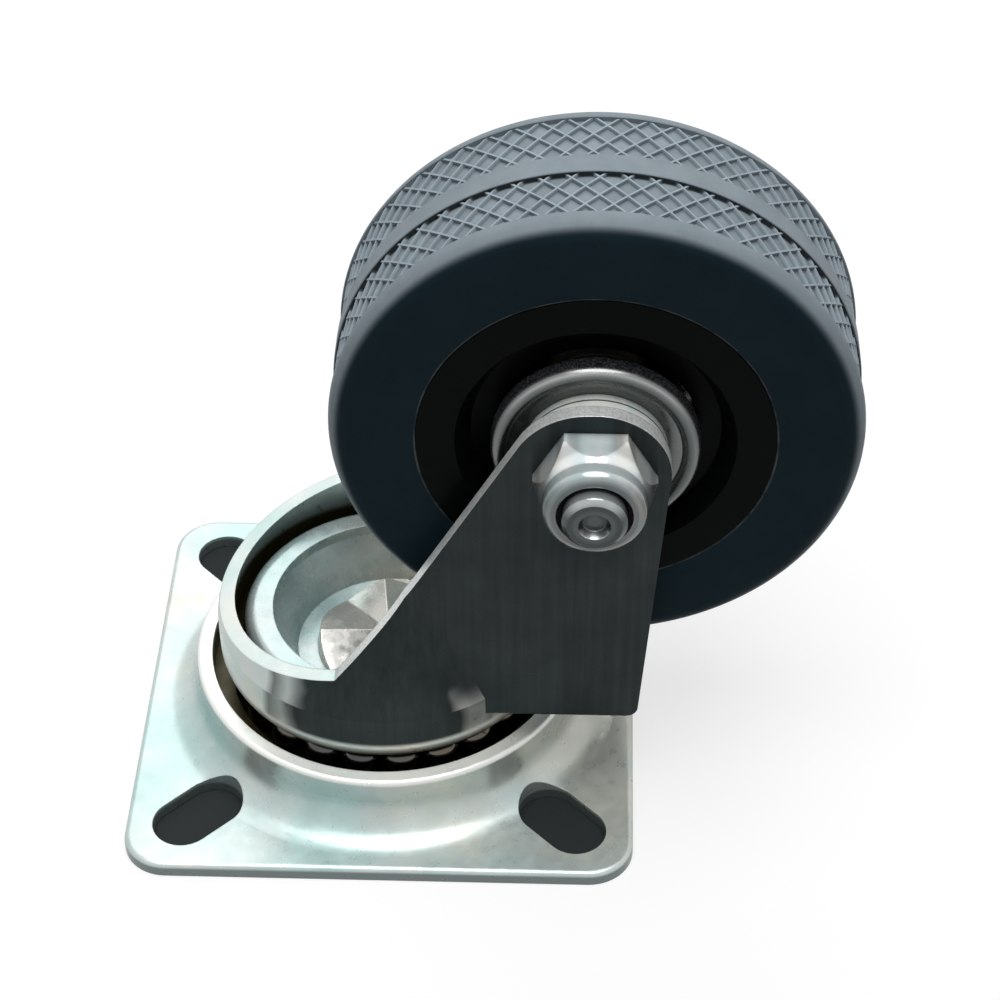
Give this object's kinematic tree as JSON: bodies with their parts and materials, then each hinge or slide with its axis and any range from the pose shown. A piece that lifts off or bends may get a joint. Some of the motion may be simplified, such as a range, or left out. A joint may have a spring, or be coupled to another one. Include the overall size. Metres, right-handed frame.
{
  "type": "plate castor",
  "caption": "Swivel plate castor: square slotted steel plate, ball-bearing swivel, pressed fork, and a grey rubber-tyred wheel with a diamond tread on a plastic core.",
  "frame": {"origin": "centre of the plate's mounting face, on the swivel axis", "axes": "+Z from the mounting face towards the wheel, along the swivel axis; the wheel trails to +X; the axle lies along Y with its nut on the -Y side. In use the part is turned over, plate up."},
  "size_m": [0.0715, 0.051, 0.0686],
  "materials": {
    "zinc_plate": "bright zinc plating on pressed sheet",
    "kingpin_steel": "bare punched steel",
    "ball_steel": "polished bearing steel",
    "bolt_steel": "zinc-plated turned steel",
    "zinc_nut": "zinc-plated, worn edges",
    "bright_cap": "bright plated sheet",
    "insert_nylon": "nylon, soiled with grease",
    "core_plastic": "black moulded plastic, slight sheen",
    "grey_rubber": "blue-grey moulded rubber, satin"
  },
  "bodies": {
    "base": {"mounting_plate": "zinc_plate", "kingpin": "kingpin_steel", "retainer_cup": "zinc_plate"},
    "fork": {"fork": "zinc_plate", "axle_bolt": "bolt_steel", "lock_nut": "zinc_nut", "nut_insert": "insert_nylon", "near_bush": "bolt_steel", "far_bush": "bolt_steel", "near_dust_cap": "bright_cap", "far_dust_cap": "bright_cap", "bearing_inner_ring": "ball_steel"},
    "wheel": {"tyre": "grey_rubber", "wheel_core": "core_plastic", "bearing_outer_ring": "ball_steel", "near_shield": "ball_steel", "far_shield": "ball_steel"},
    "lower_balls": {"lower_balls": "ball_steel"},
    "upper_balls": {"upper_balls": "ball_steel"},
    "hub_balls": {"bearing_balls": "ball_steel", "bearing_cage": "ball_steel"}
  },
  "joints": [
    {"name": "swivel", "type": "hinge", "parent": "base", "child": "fork", "pos_m": [0, 0, 0], "axis": [0, 0, 1], "continuous": true},
    {"name": "wheel_spin", "type": "hinge", "parent": "fork", "child": "wheel", "pos_m": [0.021, 0, 0.0436], "axis": [0, 1, 0], "continuous": true},
    {"name": "lower_ball_orbit", "type": "hinge", "parent": "base", "child": "lower_balls", "pos_m": [0, 0, 0], "axis": [0, 0, 1], "continuous": true},
    {"name": "upper_ball_orbit", "type": "hinge", "parent": "base", "child": "upper_balls", "pos_m": [0, 0, 0], "axis": [0, 0, 1], "continuous": true},
    {"name": "hub_ball_orbit", "type": "hinge", "parent": "fork", "child": "hub_balls", "pos_m": [0.021, 0, 0.0436], "axis": [0, 1, 0], "continuous": true}
  ],
  "couplings": [
    {"joint": "lower_ball_orbit", "follows": "swivel", "ratio": 0.5},
    {"joint": "upper_ball_orbit", "follows": "swivel", "ratio": 0.5},
    {"joint": "hub_ball_orbit", "follows": "wheel_spin", "ratio": 0.64}
  ]
}
